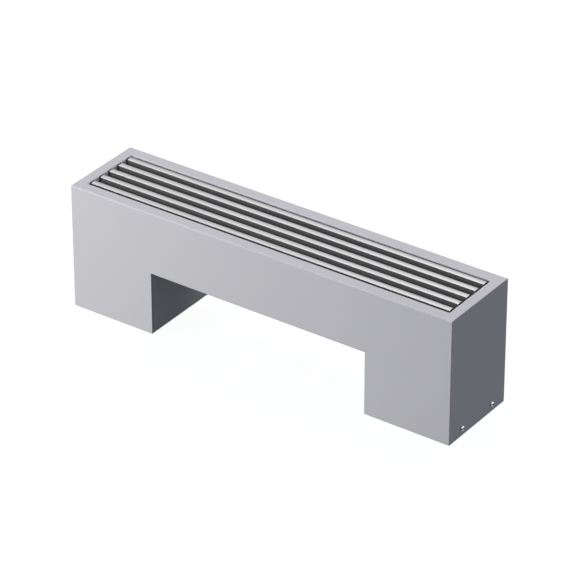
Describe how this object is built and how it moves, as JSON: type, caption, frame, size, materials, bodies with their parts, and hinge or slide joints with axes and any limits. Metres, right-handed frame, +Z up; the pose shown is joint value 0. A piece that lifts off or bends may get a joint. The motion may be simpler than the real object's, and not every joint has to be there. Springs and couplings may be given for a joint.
{
  "type": "floor convector",
  "caption": "Bridge-shaped floor convector: a silver-grey sheet cover on two legs with a lift-out linear bar grille over a finned heat exchanger and angle valves.",
  "frame": {"origin": "on the floor, under the middle of the cover", "axes": "+X along the length towards the leg with the valves, -Y out of the front, +Z up"},
  "size_m": [0.6044, 0.13, 0.184],
  "materials": {
    "cover_paint": "silver-grey powder coat, satin",
    "bar_aluminium": "natural anodised, satin",
    "plain_aluminium": "mill finish",
    "copper": "plain copper tube, slightly dulled",
    "brass": "turned brass",
    "nickel": "matt nickel plate on brass",
    "zinc_steel": "galvanised sheet",
    "black_steel": "black powder coat, matt",
    "bright_steel": "bright stainless steel",
    "black_rubber": "matt rubber",
    "black_plastic": "fine-grained moulded plastic"
  },
  "bodies": {
    "convector": {"casing_wrap": "cover_paint", "end_panel_left": "cover_paint", "end_panel_right": "cover_paint", "leg_panel_left": "cover_paint", "leg_panel_right": "cover_paint", "grille_support_left": "zinc_steel", "grille_support_right": "zinc_steel", "grille_pads": "black_rubber", "fin_block": "plain_aluminium", "copper_tube_front": "copper", "copper_tube_rear": "copper", "return_bend": "copper", "air_vent_body": "nickel", "tube_grommets": "black_plastic", "exchanger_bracket_left": "zinc_steel", "exchanger_bracket_right": "zinc_steel", "bracket_screws": "bright_steel", "bracket_nuts": "zinc_steel", "stand_left": "black_steel", "stand_right": "black_steel", "cover_screws": "bright_steel", "clinch_nuts": "zinc_steel", "pipe_tails": "brass", "union_gaskets": "black_rubber", "union_nuts": "nickel", "flow_valve_body": "nickel", "flow_valve_bonnet": "brass", "return_valve_body": "nickel", "lockshield_bonnet": "brass"},
    "grille": {"grille_bar_1": "bar_aluminium", "grille_bar_2": "bar_aluminium", "grille_bar_3": "bar_aluminium", "grille_bar_4": "bar_aluminium", "grille_bar_5": "bar_aluminium", "grille_rods": "bright_steel", "grille_spacers": "black_plastic", "grille_rod_caps": "black_plastic"},
    "vent_screw": {"air_vent_screw": "bright_steel"},
    "flow_pin": {"valve_pin": "bright_steel", "valve_washer": "black_rubber"},
    "flow_wheel": {"handwheel": "black_plastic"},
    "lockshield": {"lockshield_spindle": "bright_steel"},
    "lockshield_cover": {"lockshield_cap": "black_plastic"}
  },
  "joints": [
    {"name": "grille_lift", "type": "slide", "parent": "convector", "child": "grille", "axis": [0, 0, 1], "range_m": [0, 0.06]},
    {"name": "handwheel_turn", "type": "hinge", "parent": "convector", "child": "flow_wheel", "pos_m": [0.235, -0.025, 0.148], "axis": [0, 0, 1], "range_deg": [0, 300]},
    {"name": "flow_pin_lift", "type": "slide", "parent": "convector", "child": "flow_pin", "axis": [0, 0, 1], "range_m": [0, 0.0024]},
    {"name": "lockshield_cap_lift", "type": "slide", "parent": "convector", "child": "lockshield_cover", "axis": [0, 0, 1], "range_m": [0, 0.008]},
    {"name": "lockshield_turn", "type": "hinge", "parent": "convector", "child": "lockshield", "pos_m": [0.235, 0.025, 0.138], "axis": [0, 0, 1], "range_deg": [0, 900]},
    {"name": "vent_screw_turn", "type": "hinge", "parent": "convector", "child": "vent_screw", "pos_m": [-0.24, 0, 0.143], "axis": [0, 0, 1], "range_deg": [0, 270]}
  ],
  "couplings": [
    {"joint": "flow_pin_lift", "follows": "handwheel_turn", "m_per_rad": 0.000458}
  ]
}
